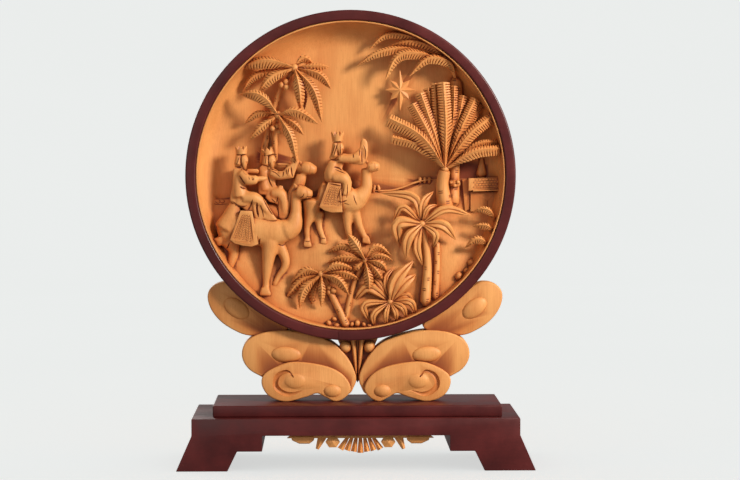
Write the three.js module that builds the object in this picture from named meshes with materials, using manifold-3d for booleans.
// Round boxwood relief of three camel riders among palms, in a lacquered hoop on a cloud bracket and stand.
// Millimetres, +Z up, the carved face towards -Y. The origin is on the floor under the middle of the stand.
import * as THREE from 'three';
import { mergeVertices } from 'three/addons/utils/BufferGeometryUtils.js';
import Module from 'manifold-3d';

const wasm = await Module();
wasm.setup();

// Driving dimensions
const gap = 0.3;
const ring = { outer: 150, wall: 9.4, depth: 36, edge: 1.5, facets: 40, x: -4.3, z: 263.6 };
const panel = { rim: 1.3, rimOut: 24.5, cove: 21, floorY: 8, plate: 7 };
const plinth = { width: 261, depth: 80, height: 10.5, x: 1.5 };
const board = { width: 295, depth: 100, top: 46.7, under: 31.3 };
const feet = { outer: 161.2, inner: 115.2, splay: 4, arch: 84.2, step: 106.7, stepUp: 17.4 };
const bracket = { middle: 6.2, backY: 13, lobeY: -10, layerY: -13.5, upperY: -5, rightReach: 0.97 };
const apron = { x: 4, drop: 16.5, thick: 6, frontY: -43, petals: 7 };
const leaf = { narrow: 7.5, stagger: 0.23, nutBehind: 3 };

// Colours and finishes
const boxwood = { color: 0xd98b4a, roughness: 0.5, metalness: 0 };
const lacquer = { color: 0x571f1f, roughness: 0.35, metalness: 0 };

// Sizes that follow from them
const panelRadius = ring.outer - ring.wall - gap;
const rimInner = panelRadius - panel.rim;
const plinthTop = board.top + plinth.height;
const out = new THREE.Vector3(0, 0, 1);

// Joining and cutting of closed forms
function toSolid(geometry) {
  geometry.deleteAttribute('normal');
  geometry.deleteAttribute('uv');
  const merged = mergeVertices(geometry, 1e-4);
  return new wasm.Manifold(new wasm.Mesh({
    numProp: 3,
    vertProperties: new Float32Array(merged.attributes.position.array),
    triVerts: new Uint32Array(merged.index.array),
  }));
}

function toGeometry(solid) {
  const mesh = solid.getMesh();
  const geometry = new THREE.BufferGeometry();
  geometry.setAttribute('position', new THREE.BufferAttribute(mesh.vertProperties, 3));
  geometry.setIndex(new THREE.BufferAttribute(mesh.triVerts, 1));
  geometry.computeVertexNormals();
  return geometry;
}

function joined(solids) {
  return solids.reduce((whole, solid) => whole.add(solid));
}

// The carving is laid out face on: x across, y up and z out towards the viewer, from the middle of the hoop.
function standUp(solid, x, y, z) {
  const geometry = toGeometry(solid);
  geometry.rotateX(Math.PI / 2);
  geometry.translate(x, y, z);
  return geometry;
}

// Value at t, from 0 to 1, along a list of evenly spaced values
function along(values, t) {
  const step = t * (values.length - 1);
  const i = Math.min(Math.floor(step), values.length - 2);
  return THREE.MathUtils.lerp(values[i], values[i + 1], step - i);
}

// A rod bent through points of [across, up, out], with half widths and half depths at those points.
// Three sides give a leaf with a ridge down its middle, five or six a rounded limb or trunk.
function limb(points, widths, depths, sides = 6, steps = points.length - 1, pointed = false) {
  const curve = new THREE.CatmullRomCurve3(points.map((p) => new THREE.Vector3(...p)));
  const rod = new THREE.CylinderGeometry(pointed ? 0 : 1, 1, 1, sides, steps);
  const position = rod.attributes.position;
  for (let i = 0; i < position.count; i++) {
    const t = position.getY(i) + 0.5;
    const around = new THREE.Vector2(position.getX(i), position.getZ(i));
    if (around.length() > 0) around.normalize();
    const heading = curve.getTangent(t);
    const normal = out.clone().addScaledVector(heading, -out.dot(heading)).normalize();
    const side = heading.clone().cross(normal);
    const p = curve.getPoint(t);
    p.addScaledVector(side, around.x * along(widths, t));
    p.addScaledVector(normal, around.y * along(depths, t));
    position.setXYZ(i, p.x, p.y, p.z);
  }
  return toSolid(rod);
}

// A rounded lump such as a head, an eye of a cloud or a ball
function lump(x, y, z, rx, ry, rz, turn = 0, sides = 6) {
  const geometry = new THREE.SphereGeometry(1, sides, Math.ceil(sides / 2));
  geometry.rotateX(Math.PI / 2);
  geometry.scale(rx, ry, rz);
  geometry.rotateZ(THREE.MathUtils.degToRad(turn));
  geometry.translate(x, y, z);
  return toSolid(geometry);
}

// A nut or a stone
function pebble(x, y, z, size) {
  const geometry = new THREE.OctahedronGeometry(size);
  geometry.rotateZ(Math.PI / 5);
  geometry.translate(x, y, z);
  return toSolid(geometry);
}

// A flat piece of a given outline, from one depth to another, with chamfered edges
function slab(outline, from, to, chamfer = 0, divisions = 1) {
  const geometry = new THREE.ExtrudeGeometry(outline, {
    depth: to - from - 2 * chamfer,
    curveSegments: divisions,
    bevelEnabled: chamfer > 0,
    bevelThickness: chamfer,
    bevelSize: chamfer,
    bevelOffset: -chamfer,
    bevelSegments: 1,
  });
  geometry.translate(0, 0, from + chamfer);
  return toSolid(geometry);
}

function polygon(points) {
  return new THREE.Shape(points.map(([x, y]) => new THREE.Vector2(x, y)));
}

// A closed smooth outline through the given points
function rounded(points, divisions = 24) {
  const corners = points.map(([x, y]) => new THREE.Vector3(x, y, 0));
  const curve = new THREE.CatmullRomCurve3(corners, true);
  return new THREE.Shape(curve.getPoints(divisions).slice(0, -1).map((p) => new THREE.Vector2(p.x, p.y)));
}

// A thick disc square to the viewing direction, faceted like the hoop
function disc(radius) {
  const geometry = new THREE.CylinderGeometry(radius, radius, 3 * ring.depth, ring.facets);
  geometry.rotateX(Math.PI / 2);
  return toSolid(geometry);
}

// The hoop
function hoop() {
  const inner = ring.outer - ring.wall;
  const half = ring.depth / 2;
  const profile = [
    [inner, -half], [ring.outer, -half], [ring.outer, half - ring.edge], [ring.outer - ring.edge, half],
    [inner, half], [inner, -half],
  ];
  const geometry = new THREE.LatheGeometry(profile.map(([r, y]) => new THREE.Vector2(r, y)), ring.facets);
  geometry.rotateX(Math.PI / 2);
  return toSolid(geometry);
}

// The round dish that the relief stands in: a flat sky, a coved wall and a narrow rim
function dish() {
  const profile = [[0, -panel.plate], [panelRadius, -panel.plate], [panelRadius, panel.rimOut]];
  for (const share of [0, 0.5, 1]) {
    const turn = share * Math.PI / 2;
    profile.push([
      rimInner - panel.cove * (1 - Math.cos(turn)),
      panel.rimOut * (1 - Math.sin(turn)),
    ]);
  }
  profile.push([0, 0]);
  const geometry = new THREE.LatheGeometry(profile.map(([r, z]) => new THREE.Vector2(r, z)), ring.facets);
  geometry.rotateX(Math.PI / 2);
  return toSolid(geometry);
}

// Sand that rises out of the sky floor from the horizon down to the lower rim
function horizon(x) {
  const left = THREE.MathUtils.smoothstep(x, -60, 20);
  const right = THREE.MathUtils.smoothstep(x, 45, 80);
  return -22 + 8 * left + 11 * right;
}

function sandOut(x, y) {
  const fall = THREE.MathUtils.clamp((horizon(x) - y) / (horizon(x) + rimInner), 0, 1);
  return 2.5 + 15 * fall + 1.2 * Math.sin(x / 15 + y / 20);
}

function sand() {
  const geometry = new THREE.BoxGeometry(2, 1, 1, 6, 3, 1);
  const position = geometry.attributes.position;
  for (let i = 0; i < position.count; i++) {
    const x = position.getX(i) * panelRadius;
    const y = THREE.MathUtils.lerp(-panelRadius, horizon(x), position.getY(i) + 0.5);
    position.setXYZ(i, x, y, position.getZ(i) > 0 ? sandOut(x, y) : -panel.plate / 2);
  }
  return toSolid(geometry);
}

// A palm: a trunk, a knot at its crown, nuts, and leaves given as the middle and the tip across and up,
// the width, and how far the leaf lies in front of the crown.
function palm({ crown, knot, trunk = [], thick = 2.5, nuts = [], leaves, droop = 4, rise = 2 }) {
  const [x, y, z] = crown;
  const parts = [lump(x, y, z, knot, knot, knot * 0.8)];
  if (trunk.length > 0) {
    parts.push(limb([[x, y, z - 2], ...trunk], [thick * 0.85, thick, thick * 1.3], [3, 4, 4], 5));
  }
  for (const [nx, ny, size] of nuts) parts.push(pebble(nx, ny, z - leaf.nutBehind, size * 1.3));
  for (const [i, [mx, my, tx, ty, width, lift]] of leaves.entries()) {
    const root = [x, y, z + lift * 0.5 - i * leaf.stagger];
    const middle = [mx, my, z + lift + 2];
    const tip = [tx, ty, z + lift - droop];
    const half = width / Math.sqrt(3);
    const steps = width > leaf.narrow ? 3 : 2;
    const widths = [half * 0.5, half, half * 0.95, 0];
    parts.push(limb([root, middle, tip], widths, [rise, rise, rise, 0], 3, steps, true));
  }
  return joined(parts);
}

const leftPalm = {
  crown: [-51, 98, 15],
  knot: 5,
  trunk: [[-66, 74, 6], [-77, 35, 4], [-81, 8, 3]],
  nuts: [[-59, 85, 3.2], [-63, 82.5, 2.8], [-58.5, 80.5, 3]],
  leaves: [
    [-77, 102.5, -101, 98, 11, 3],
    [-43, 106, -33, 100.5, 7, -2],
    [-34, 98.5, -19, 99, 7, 0],
    [-29, 91, -18, 79, 8, 1],
    [-34, 77, -26, 48, 9, 3],
    [-47, 80, -45, 57, 9, 3],
    [-71, 89, -84, 75, 9, 3],
    [-85, 91, -99, 76, 6, -5],
  ],
};

const middlePalm = {
  crown: [-66, 55, 17],
  knot: 5,
  trunk: [[-69, 36, 6], [-70, 12, 2]],
  nuts: [[-67, 45, 2.6], [-65, 40, 2.6], [-71, 43, 2.6]],
  leaves: [
    [-82, 71, -101, 74.5, 10, 4],
    [-50, 57.5, -29, 47, 9, 3],
    [-84, 56, -97, 47, 6, -5],
    [-81, 44, -93, 32, 7, 0],
    [-52, 47, -43, 37, 6, 0],
    [-55, 36, -49, 12, 8, 4],
  ],
};

const lowerPalm = {
  crown: [-27, -90, 19],
  knot: 4.5,
  trunk: [[-13, -118, 15], [-3, -139, 17]],
  thick: 3.2,
  nuts: [[-20, -106, 2.8], [-20, -102, 2.8], [-16, -104.5, 3]],
  leaves: [
    [-13, -82, 4, -86, 7, 2],
    [-7, -89, 10, -96, 6, 0],
    [-12, -95, -1.5, -109, 8, 3],
    [-41, -87, -55, -99, 8, -1],
    [-45, -96, -60, -113, 7, -2],
    [-42, -103, -47, -121, 8, 2],
    [-26.5, -104, -27, -120, 6, 3],
  ],
};

const frontPalm = {
  crown: [13, -77, 18],
  knot: 4,
  trunk: [[2, -102, 14], [-5, -133, 15]],
  leaves: [
    [4, -63, -3, -53, 9, 3],
    [-6, -65, -21, -70.5, 6, -2],
    [-6, -75, -22, -80, 6, 0],
    [23, -65.5, 37, -73, 7, 1],
    [26, -80, 33, -88, 7, 2],
    [23, -87, 31, -99, 6, 1],
    [16, -93, 17, -110, 8, 2],
  ],
};

// Leaves of the broad plants are smooth straps
const strapPlant = {
  crown: [65, -44, 19],
  knot: 4.5,
  trunk: [[70, -80, 14], [68, -119, 17]],
  thick: 4,
  leaves: [
    [57, -20, 27, -16, 8, -3],
    [47, -29, 38, -45, 6, -2],
    [43, -44, 45, -66, 11, 1],
    [52, -57, 50, -77, 9, 3],
    [60, -64, 66, -83, 7, 0],
    [77, -53, 75, -66, 6, 2],
    [84, -45, 96.5, -59, 9, 1],
    [86, -30.5, 111, -36.5, 7, 2],
    [66, -25, 76, -14, 7, -2],
  ],
};

const bananaPlant = {
  crown: [36, -115, 20],
  knot: 4,
  leaves: [
    [42, -95, 58, -77, 12, 0],
    [48, -99, 60, -90, 11, -1],
    [27, -99, 18, -91, 6, -4],
    [16, -102, 2, -116, 9, -3],
    [12, -118, 20, -138, 6, 0],
    [21, -126, 22, -139, 5, 1],
    [47, -120, 51, -131, 5, 2],
    [54, -115, 60, -128, 6, 0],
    [50, -109, 58, -117, 6, -2],
  ],
};

const fanPalm = {
  crown: [86, 6, 16],
  knot: 4.5,
  trunk: [[84, -10, 12], [87, -30, 10]],
  thick: 6,
  droop: 1,
  rise: 2.2,
  leaves: [
    [63, 26, 37, 33.5, 8, 0],
    [62, 35, 34, 50.5, 12, 2],
    [68, 42, 55.5, 65, 10, 1],
    [73, 46, 63, 75, 9, 0],
    [78.5, 50, 76.5, 84, 6, -1],
    [86, 50, 84, 85, 11, 3],
    [93, 50, 94.5, 82, 6, -2],
    [97, 46, 103, 73, 8, -3],
    [102, 45, 114, 70, 9, 1],
    [108, 46, 119, 65, 6, -3],
    [108, 36, 129, 53, 10, 3],
    [112, 20, 138, 23.5, 9, 4],
  ],
};

// Long arching leaves, each given from its root to its tip, that rise out of the sky in the upper right
const hangingLeaves = [
  [[96, 88, 9], [89, 102, 18], [70, 105, 19], [53, 90, 15], 8],
  [[84, 104, 15], [62, 110, 18], [43, 107, 19], [31, 86, 14], 9],
  [[76, 110, 15], [48, 114.5, 15.5], [24, 110.5, 15], [5, 99.5, 10], 7],
  [[86, 106, 17], [73, 116, 17], [54, 121, 17], [34, 117.5, 12], 7],
  [[70, 118, 16], [52, 126, 17], [32, 127, 14], [16, 114, 9], 6],
  [[133, -46, 12], [127, -34, 20], [120, -31, 21], [111, -33.5, 17], 6],
  [[131, -57, 13], [126, -48, 20], [120, -46, 20], [111, -46, 17], 6],
  [[126, -68, 14], [120, -60, 21], [113, -59, 22], [104, -66, 18], 7],
];

function hanging() {
  return joined(hangingLeaves.map(([a, b, c, d, width]) => {
    const half = width / Math.sqrt(3);
    return limb([a, b, c, d], [half * 0.7, half, half * 0.9, 0], [2.4, 2.4, 2.2, 0], 3, 4, true);
  }));
}

// A star of eight points, long to the top and the bottom
function star() {
  const reach = [15, 6, 11.5, 6, 19, 6, 12, 6, 14, 6, 13, 6, 23, 6, 12, 6];
  const geometry = new THREE.ConeGeometry(1, 1, reach.length, 1);
  geometry.rotateX(Math.PI / 2);
  const position = geometry.attributes.position;
  const centre = new THREE.Vector2(45, 78);
  for (let i = 0; i < position.count; i++) {
    const angle = Math.atan2(position.getY(i), position.getX(i));
    const spoke = Math.round(angle / (2 * Math.PI) * reach.length + reach.length) % reach.length;
    const size = Math.hypot(position.getX(i), position.getY(i)) > 0.5 ? reach[spoke] : 0;
    const z = position.getZ(i) > 0 ? 11 : 6;
    position.setXYZ(i, centre.x + size * Math.cos(angle), centre.y + size * Math.sin(angle), z);
  }
  return toSolid(geometry).add(slab(polygon([[42, 75], [48, 75], [48, 81], [42, 81]]), -2, 8));
}

// A town wall with a door, a parapet and two spires
function town() {
  const parts = [
    slab(polygon([[110, -33], [137, -33], [139, -15], [110, -15]]), -2, 8),
    slab(polygon([[108, -14], [140, -13], [139.5, -0.5], [108, -2]]), -2, 11),
    slab(polygon([[101, -4], [111, -3], [112, -17], [111, -31], [104, -33]]), -2, 6),
  ];
  for (const x of [120, 136]) parts.push(limb([[x, -2, 1], [x, 20, 1]], [4.5, 0], [3, 0], 4, 1, true));
  const door = new THREE.Shape();
  door.moveTo(119, -31);
  door.lineTo(132, -31);
  door.lineTo(132, -26);
  door.absarc(125.5, -26, 6.5, 0, Math.PI);
  return joined(parts).subtract(slab(door, 6.5, 12, 0, 4));
}

// A rider: robe, sleeves, veil, head and crown, all from the rider's own points
function rider({ back, hip, knee, hem, foot, shoulder, elbow, hand, gift, head, width }) {
  const [hx, hy, hz] = head;
  const [gx, gy, gz, gw, gh] = gift;
  return joined([
    limb([shoulder, back, hip], [width * 0.75, width, width * 1.15], [5, 6, 6], 5),
    limb([hip, knee, hem], [width * 1.15, width, width * 1.2], [5, 5.5, 5], 5),
    limb([hem, foot], [3.5, 2.5], [3, 2.5], 4),
    limb([shoulder, elbow, hand], [3.6, 4.2, 2.6], [3.4, 3.6, 2.6], 5),
    lump(gx, gy, gz, gw, gh, gw),
    lump(hx, hy, hz, 4.8, 6.4, 4.8),
    limb([[hx - 1, hy + 4, hz - 1], [hx - 3, hy - 4, hz - 1], [hx - 4, hy - 12, hz - 1]],
      [3, 4.5, 4], [3, 3, 3], 4),
    coronet(hx - 1, hy + 4, hz),
  ]);
}

// A crown, wider at its top, with every other point standing up
function coronet(x, y, z) {
  const geometry = new THREE.CylinderGeometry(6, 4.8, 6, 6, 1);
  const position = geometry.attributes.position;
  for (let i = 0; i < position.count; i++) {
    const spoke = Math.round(Math.atan2(position.getX(i), position.getZ(i)) / (Math.PI / 3));
    const onEdge = Math.hypot(position.getX(i), position.getZ(i)) > 1;
    if (position.getY(i) > 0 && !(onEdge && spoke % 2 === 0)) position.setY(i, 0.5);
  }
  geometry.rotateZ(THREE.MathUtils.degToRad(8));
  geometry.translate(x, y + 3, z);
  return toSolid(geometry);
}

// A camel: a body, a neck with a head, four legs and a cloth under the rider
function camel({ body, bodyHalf, neck, neckHalf, head, headHalf, legs, cloth, clothOut }) {
  const parts = [
    limb(body, bodyHalf, bodyHalf.map((half) => half * 0.62), 6),
    limb(neck, neckHalf, neckHalf.map((half) => half * 0.85), 4),
    limb(head, headHalf, headHalf, 4, 2),
  ];
  for (const [points, halves] of legs) parts.push(limb(points, halves, halves.map((half) => half * 0.9), 4));
  if (cloth) parts.push(slab(polygon(cloth), clothOut - 9, clothOut, 0));
  return joined(parts);
}

const frontCamel = {
  body: [[-121, -54, 13], [-103, -47, 14], [-84, -50, 15], [-66, -51, 15], [-54, -48, 14]],
  bodyHalf: [10, 15, 14, 12, 8],
  neck: [[-62, -51, 14], [-53, -46, 14], [-49.5, -34, 14], [-49.5, -20, 14], [-48, -11, 15]],
  neckHalf: [11, 9, 5.6, 4.8, 5],
  head: [[-49, -10, 15], [-42, -14, 16], [-33, -17, 15]],
  headHalf: [5, 5, 2.6],
  legs: [
    [[[-111, -58, 12], [-107, -70, 11], [-112, -86, 12]], [9, 5, 4]],
    [[[-73, -56, 15], [-75, -80, 15], [-77, -98, 15], [-77, -109, 15]], [9, 5.5, 3.4, 5.5]],
    [[[-66, -62, 12], [-59, -80, 12], [-64, -89, 12], [-70, -100, 12]], [6, 3.6, 3, 2.8]],
    [[[-103, -22, 14], [-109, -37, 14], [-115, -50, 14]], [5, 8, 11]],
  ],
  cloth: [[-99.6, -32], [-89.7, -32], [-84, -62.5], [-97, -63], [-109.5, -58.5]],
  clothOut: 23.5,
};

const frontRider = {
  shoulder: [-101, 4, 17],
  back: [-103.5, -8, 17],
  hip: [-99, -20, 18],
  knee: [-81, -24, 19],
  hem: [-78, -37, 19],
  foot: [-67, -43, 18],
  elbow: [-94, -4, 20],
  hand: [-76, -1, 19],
  gift: [-79.5, 2, 15, 4.6, 8.8],
  head: [-98.5, 15, 17],
  width: 6.2,
};

const farCamel = {
  body: [[-84, -30, 8], [-66, -34, 8], [-55, -34, 8]],
  bodyHalf: [6, 8, 6],
  neck: [[-60, -44, 8], [-57, -26, 9.4], [-47.6, -8, 10.4], [-45, 2, 10]],
  neckHalf: [6, 5.5, 4.5, 4.5],
  head: [[-48, 7, 11], [-40, 7.5, 12], [-30, 4, 12]],
  headHalf: [5, 5.5, 2.8],
  legs: [],
};

const farRider = {
  shoulder: [-77, 6, 10],
  back: [-79, -5, 10],
  hip: [-76, -15, 11],
  knee: [-62, -17, 12],
  hem: [-61.5, -34, 11],
  foot: [-60, -41, 9],
  elbow: [-64, -0.5, 13.4],
  hand: [-50.5, 11.5, 14],
  gift: [-50, 15, 14, 3.4, 4.5],
  head: [-73, 15, 11],
  width: 5.2,
};

const leadCamel = {
  body: [[-29, -17, 12], [-16, -19, 13], [2, -22, 14], [12, -18, 13]],
  bodyHalf: [12, 12.5, 12, 7],
  neck: [[6, -22, 13], [14, -12, 13], [14.5, 0, 13], [14, 8, 14]],
  neckHalf: [9, 5.5, 3.8, 4],
  head: [[13, 9, 14], [20, 9, 15], [28, 7, 14]],
  headHalf: [4.8, 4.8, 2.6],
  legs: [
    [[[-3, -30, 13], [-3, -43, 12], [-1, -57, 10]], [5.5, 3.4, 3.4]],
    [[[4, -32, 12], [8, -46, 11], [16, -60, 9]], [4.5, 3, 3.6]],
    [[[-33, -20, 11], [-36, -36, 10], [-40, -47, 10], [-39, -63, 9]], [9, 6, 2.8, 3.8]],
    [[[-29, -32, 8], [-29, -46, 8], [-24, -61, 8]], [5, 3, 3.2]],
  ],
  cloth: [[-20, -6], [-9, -7], [-8, -30.5], [-18, -32], [-28, -28]],
  clothOut: 22,
};

const leadRider = {
  shoulder: [-16, 14, 17],
  back: [-19, 5, 17],
  hip: [-18, -1, 17],
  knee: [-4, -3, 19],
  hem: [-5, -19, 18],
  foot: [0, -27, 17],
  elbow: [-3, 15.5, 19],
  hand: [11, 16, 19],
  gift: [13, 22, 19, 3.6, 11],
  head: [-11.5, 26, 17],
  width: 6.5,
};

// Trunks that stand behind the leaves, with their half widths
const bareTrunks = [
  { points: [[97, 92, 4], [97, 50, 4], [95, 5, 5], [93, -30, 7]], halves: [6, 5, 5, 9] },
  { points: [[79, -60, 10], [79, -84, 11], [77, -114, 14]], halves: [3.2, 3.5, 3.8] },
];

function trunkOf({ points, halves }) {
  return limb(points, halves, halves.map((half) => Math.min(half, 3.4)), 5);
}

// Loose stones on the sand, as [across, up, size]
const stones = [
  [111, -80, 4], [106, -87, 3], [99, -92, 3.8], [-20, -135, 3], [-15, -131, 2.4],
  [1, -136, 2.6], [6, -135, 3.2], [12, -136, 2.4],
];

// The whole relief, cut from one board with its dish
function carving() {
  const parts = [
    sand(), palm(leftPalm), palm(middlePalm), palm(fanPalm), palm(strapPlant), palm(frontPalm),
    palm(lowerPalm), palm(bananaPlant), hanging(), star(), town(), camel(farCamel), rider(farRider),
    camel(leadCamel), rider(leadRider), camel(frontCamel), rider(frontRider), ...bareTrunks.map(trunkOf),
  ];
  for (const [x, y, size] of stones) parts.push(pebble(x, y, sandOut(x, y), size * 1.2));
  return dish().add(joined(parts).intersect(disc((rimInner + panelRadius) / 2)));
}

// The cloud bracket is drawn as its left half and mirrored about its middle groove
const plinthY = plinthTop - ring.z;
const upperCloud = [
  [-131, -110], [-127, -101.5], [-117, -97.5], [-105, -100], [-82, -118], [-56, -136], [-70, -147],
  [-93, -146.5], [-106, -142], [-119, -133.5], [-128, -122],
];
const lowerCloud = [
  [-99.5, -165], [-96, -152], [-82, -144], [-60, -141.5], [-38, -145], [-18, -152], [-4, -165], [4.5, -182],
  [3, -193], [-6, -201], [-40, -196], [-62, -198], [-78, -186], [-93, -177],
];
const cloudLayer = [
  [-81.5, -190], [-78, -180], [-60, -171], [-45, -170], [-22, -174], [-7, -182], [0, -194], [-5, -202.5],
  [-14, plinthY], [-23, -202.5], [-31, -199], [-42, -202.5], [-60, plinthY], [-75, -201],
];
const spiral = [[-52, -184], [-58, -178.5], [-67, -183], [-68, -193], [-57, -199.5], [-41, -195]];

// Three overlapping clouds with raised eyes, balls and a cut scroll, and half of the ribbed middle
function cloudHalf() {
  const out1 = -bracket.upperY;
  const out2 = -bracket.lobeY;
  const out3 = -bracket.layerY;
  const scroll = spiral.map(([x, y]) => [x, y, out3 + 1]);
  return joined([
    slab(rounded(upperCloud, 14), -bracket.backY, out1, 2),
    slab(rounded(lowerCloud, 16), -bracket.backY, out2, 2),
    slab(rounded(cloudLayer, 16), 0, out3, 1.5),
    lump(-104.5, -121.5, out1 - 1, 14, 8.5, 5, -35),
    lump(-59, -163.5, out2 - 1, 14.5, 8, 5, -5),
    lump(-51, -187.5, out3 - 2, 12, 8.5, 5),
    lump(-17, -196.5, out3 - 2, 9.5, 7, 6),
    lump(-5, -157, out2 - 5, 5.6, 5.6, 5.6),
    limb([[1.5, -146, 3], [3.6, -166, 4], [5.2, -187, 3]], [3, 2, 1], [6, 4, 3], 4),
  ]).subtract(limb(scroll, [0.5, 1.6, 2.6, 2.8, 2.4, 0.5], [1, 2.4, 3, 3, 2.4, 1], 3, 6));
}

// The same form turned over about the middle groove, drawn in a little
function mirrored(solid, scale) {
  const geometry = toGeometry(solid);
  geometry.translate(-bracket.middle, 0, 0);
  geometry.scale(-scale, 1, 1);
  geometry.translate(bracket.middle, 0, 0);
  const index = geometry.index.array;
  for (let i = 0; i < index.length; i += 3) [index[i], index[i + 1]] = [index[i + 1], index[i]];
  return toSolid(geometry);
}

// Both halves and the ribbed middle, hollowed for the hoop and cut flat on the plinth
function cloudBracket() {
  const half = cloudHalf();
  const below = new THREE.BoxGeometry(400, 20, 80);
  below.translate(0, plinthY - 10, 0);
  const m = bracket.middle;
  const stem = polygon([[m - 20, -146], [m - 4, -184], [m, -190], [m + 4, -184], [m + 20, -146]]);
  const whole = joined([half, slab(stem, 1 - bracket.backY, 3), mirrored(half, bracket.rightReach)]);
  return whole.subtract(disc(ring.outer + gap)).subtract(toSolid(below));
}

// The leaf apron under the front of the stand: a fan of petals between scrolls, pointed leaves and side lobes
function leafApron() {
  const top = board.under - gap;
  const middle = (apron.petals - 1) / 2;
  const parts = [slab(polygon([[-66, top - 3], [66, top - 3], [62, top], [-62, top]]), 0, apron.thick - 1)];
  for (let i = 0; i < apron.petals; i++) {
    const lean = (i - middle) / middle;
    const low = top - apron.drop * (1 - 0.2 * Math.abs(lean));
    parts.push(limb([[lean * 11, top - 2, 2.5], [lean * 18, low, 4]], [1.6, 3.3], [1.8, 2.4], 3));
  }
  for (const side of [-1, 1]) {
    const lobe = [[41, -1], [63, -1], [61.5, -5], [55, -8], [46, -8], [42, -5]];
    parts.push(slab(polygon(lobe.map(([x, y]) => [side * x, top + y])), 0.5, apron.thick, 1));
    parts.push(lump(side * 25, top - 6.5, 3.5, 7.5, 6.4, 4));
    parts.push(limb([[side * 34.5, top - 2, 3], [side * 39, top - 13, 3.5]], [4, 1.5], [2.6, 1.5], 4));
  }
  return joined(parts);
}

// The stand: a board on two stepped feet that lean out to the sides, the front and the back
function stand() {
  const half = board.depth / 2;
  const outline = [
    [-board.width / 2, board.under], [-feet.outer, 0], [-feet.inner, 0], [-feet.step, feet.stepUp],
    [-feet.arch, feet.stepUp], [-feet.arch, board.under],
  ];
  const parts = [slab(polygon([
    [-board.width / 2, board.under], [board.width / 2, board.under],
    [board.width / 2, board.top], [-board.width / 2, board.top],
  ]), -half, half)];
  for (const side of [-1, 1]) {
    const points = outline.map(([x, z]) => [x * -side, z]);
    const block = new THREE.ExtrudeGeometry(polygon(points), { depth: board.depth, bevelEnabled: false });
    block.translate(0, 0, -half);
    const position = block.attributes.position;
    for (let i = 0; i < position.count; i++) {
      const lean = feet.splay * (1 - position.getY(i) / board.under);
      position.setZ(i, position.getZ(i) + Math.sign(position.getZ(i)) * lean);
    }
    parts.push(toSolid(block));
  }
  return joined(parts);
}

function plinthBoard() {
  const w = plinth.width / 2;
  const d = plinth.depth / 2;
  const geometry = toGeometry(slab(polygon([[-w, -d], [w, -d], [w, d], [-w, d]]), 0, plinth.height, 1));
  geometry.translate(plinth.x, 0, board.top);
  return geometry;
}

function part(name, geometry, finish) {
  const mesh = new THREE.Mesh(geometry, new THREE.MeshStandardMaterial(finish));
  mesh.name = name;
  return mesh;
}

const group = new THREE.Group();
group.name = 'carved_relief_panel';
group.add(
  part('frame_ring', standUp(hoop(), ring.x, 0, ring.z), lacquer),
  part('carved_panel', standUp(carving(), ring.x, panel.floorY, ring.z), boxwood),
  part('cloud_bracket', standUp(cloudBracket(), ring.x, 0, ring.z), boxwood),
  part('plinth_board', plinthBoard(), lacquer),
  part('stand_base', standUp(stand(), 0, 0, 0), lacquer),
  part('carved_apron', standUp(leafApron(), apron.x, apron.frontY + apron.thick, 0), boxwood),
);

export default group;
